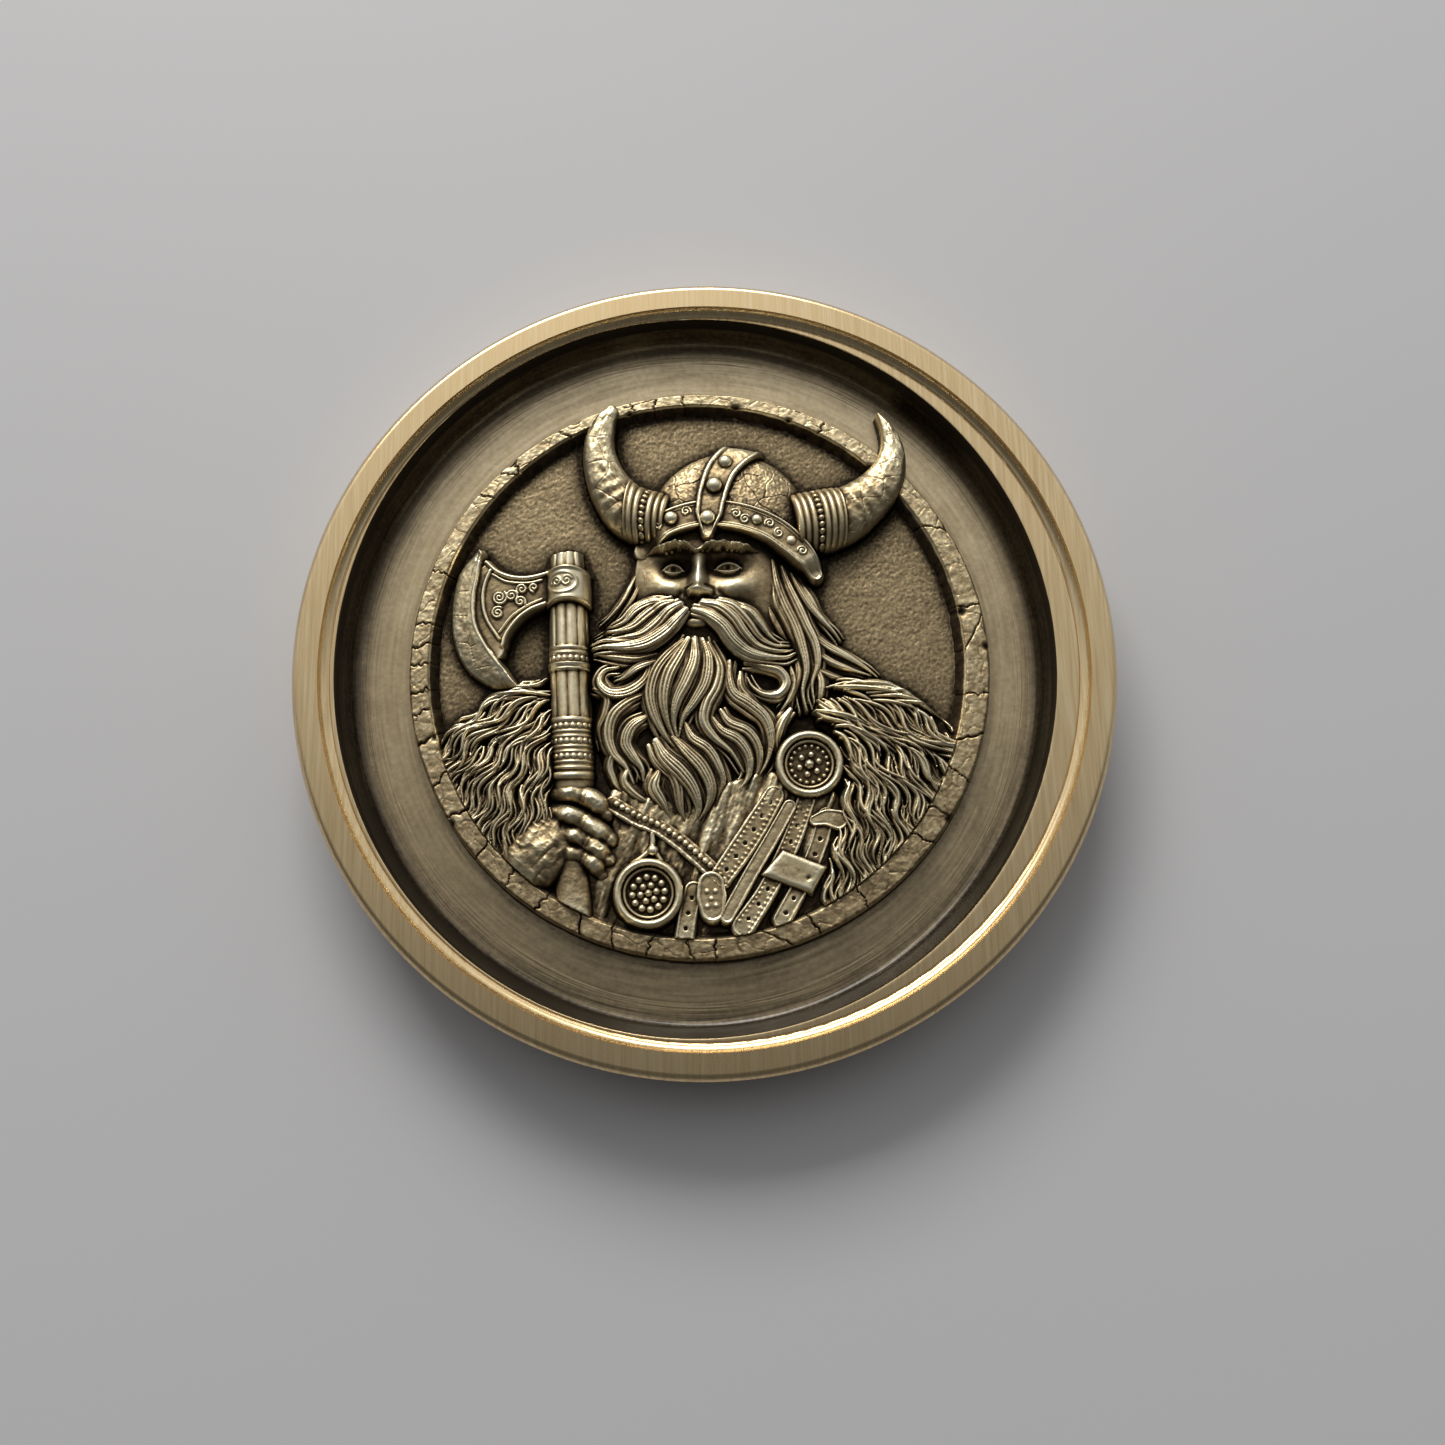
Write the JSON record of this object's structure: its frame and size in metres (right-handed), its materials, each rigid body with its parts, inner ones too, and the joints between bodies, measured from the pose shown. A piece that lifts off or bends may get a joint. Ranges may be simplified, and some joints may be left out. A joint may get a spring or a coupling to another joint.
{
  "type": "challenge coin",
  "caption": "Round brass coin with a turned rim, a deep dish, a cracked-stone ring and the high-relief bust of a bearded warrior with horned helmet and axe.",
  "frame": {"origin": "middle of the back face", "axes": "+Z out of the decorated face, +Y towards the top of the picture, +X to the viewer's right"},
  "size_m": [0.05, 0.05, 0.005],
  "materials": {
    "bright_brass": "turned and brushed, bright, with a polished cove",
    "satin_brass": "satin turned back",
    "antique_brass": "turned, antiqued with a dark brown patina",
    "stippled_brass": "fine stippled, antiqued",
    "worn_brass": "rough-hewn, rubbed bright on top and dark in the joints",
    "relief_brass": "carved, dark patina in the hollows and polished high points"
  },
  "bodies": {
    "root": {"axe_haft": "relief_brass", "axe_head": "relief_brass", "beard": "relief_brass", "brow_rivet_left": "relief_brass", "brow_rivet_middle": "relief_brass", "brow_rivet_right": "relief_brass", "collar_plaque": "relief_brass", "collar_trim": "relief_brass", "crest_rivet_lower": "relief_brass", "crest_rivet_middle": "relief_brass", "crest_rivet_upper": "relief_brass", "field_plate": "stippled_brass", "fist": "relief_brass", "fur_mantle_left": "relief_brass", "fur_mantle_right": "relief_brass", "hair_left": "relief_brass", "hair_right": "relief_brass", "head": "relief_brass", "helmet_bowl": "relief_brass", "helmet_brow_band": "relief_brass", "helmet_crest_strap": "relief_brass", "horn_left": "relief_brass", "horn_right": "relief_brass", "moustache_left": "relief_brass", "moustache_right": "relief_brass", "pendant": "relief_brass", "recess_dish": "antique_brass", "reverse_plate": "satin_brass", "rim_bezel": "bright_brass", "shoulder_brooch": "relief_brass", "stone_ring": "worn_brass", "strap_inner": "relief_brass", "strap_keeper": "relief_brass", "strap_middle": "relief_brass", "strap_outer": "relief_brass", "strap_rear": "relief_brass", "strap_tail": "relief_brass", "strap_toggle": "relief_brass", "tunic": "relief_brass", "wrist": "relief_brass"}
  },
  "joints": []
}
